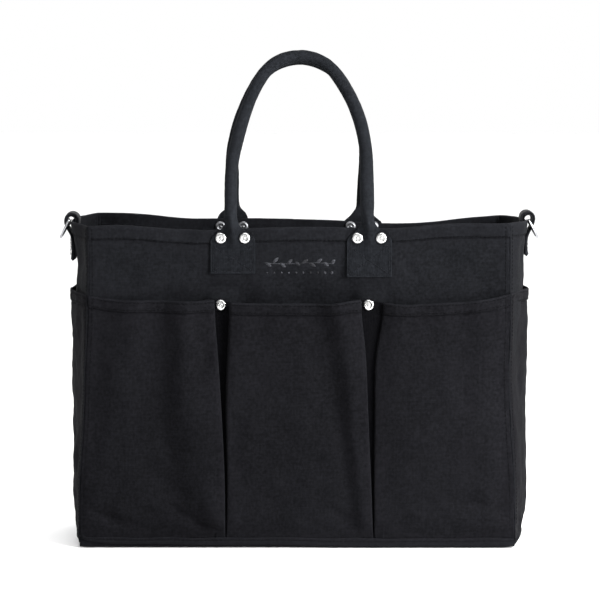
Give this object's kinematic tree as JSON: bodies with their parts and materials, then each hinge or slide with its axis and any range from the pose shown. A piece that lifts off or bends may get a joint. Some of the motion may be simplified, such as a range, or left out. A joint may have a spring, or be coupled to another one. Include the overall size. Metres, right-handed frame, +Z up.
{
  "type": "garden tool bag",
  "caption": "Open canvas tote for garden hand tools, with pleated outer pockets all round, rope-cored carrying handles and wire rings for a shoulder strap.",
  "frame": {"origin": "centre of the base, on the surface the bag stands on", "axes": "+Z up, +X to the right as seen from the front, the front faces -Y"},
  "size_m": [0.5034, 0.183, 0.5129],
  "materials": {
    "body_canvas": "plain-weave canvas, matt",
    "pocket_canvas": "plain-weave canvas, matt",
    "binding_canvas": "plain-weave canvas, matt",
    "handle_canvas": "plain-weave canvas, matt",
    "rope": "twisted cotton, matt",
    "webbing": "ribbed weave, slight sheen",
    "rivet_metal": "nickel plated",
    "ring_metal": "nickel plated"
  },
  "bodies": {
    "bag": {"front_panel": "body_canvas", "back_panel": "body_canvas", "left_gusset": "body_canvas", "right_gusset": "body_canvas", "base_panel": "body_canvas", "base_binding": "binding_canvas", "front_pocket_panel": "pocket_canvas", "back_pocket_panel": "pocket_canvas", "left_side_pocket": "pocket_canvas", "right_side_pocket": "pocket_canvas", "front_left_handle_tab": "handle_canvas", "front_right_handle_tab": "handle_canvas", "rear_left_handle_tab": "handle_canvas", "rear_right_handle_tab": "handle_canvas", "handle_rivet_caps": "rivet_metal", "handle_rivet_backs": "rivet_metal", "pocket_rivet_caps": "rivet_metal", "pocket_rivet_backs": "rivet_metal", "left_ring_webbing": "webbing", "right_ring_webbing": "webbing"},
    "front_handle": {"front_handle_cover": "handle_canvas", "front_handle_core": "rope"},
    "rear_handle": {"rear_handle_cover": "handle_canvas", "rear_handle_core": "rope"},
    "left_ring": {"left_d_ring": "ring_metal"},
    "right_ring": {"right_d_ring": "ring_metal"}
  },
  "joints": [
    {"name": "front_handle_swing", "type": "hinge", "parent": "bag", "child": "front_handle", "pos_m": [0, -0.0825, 0.349], "axis": [1, 0, 0], "range_deg": [0, 170]},
    {"name": "rear_handle_swing", "type": "hinge", "parent": "bag", "child": "rear_handle", "pos_m": [0, 0.0825, 0.349], "axis": [-1, 0, 0], "range_deg": [0, 170]},
    {"name": "left_ring_swing", "type": "hinge", "parent": "bag", "child": "left_ring", "pos_m": [-0.2405, 0, 0.336], "axis": [0, 1, 0], "range_deg": [0, 170]},
    {"name": "right_ring_swing", "type": "hinge", "parent": "bag", "child": "right_ring", "pos_m": [0.2405, 0, 0.336], "axis": [0, -1, 0], "range_deg": [0, 170]}
  ]
}
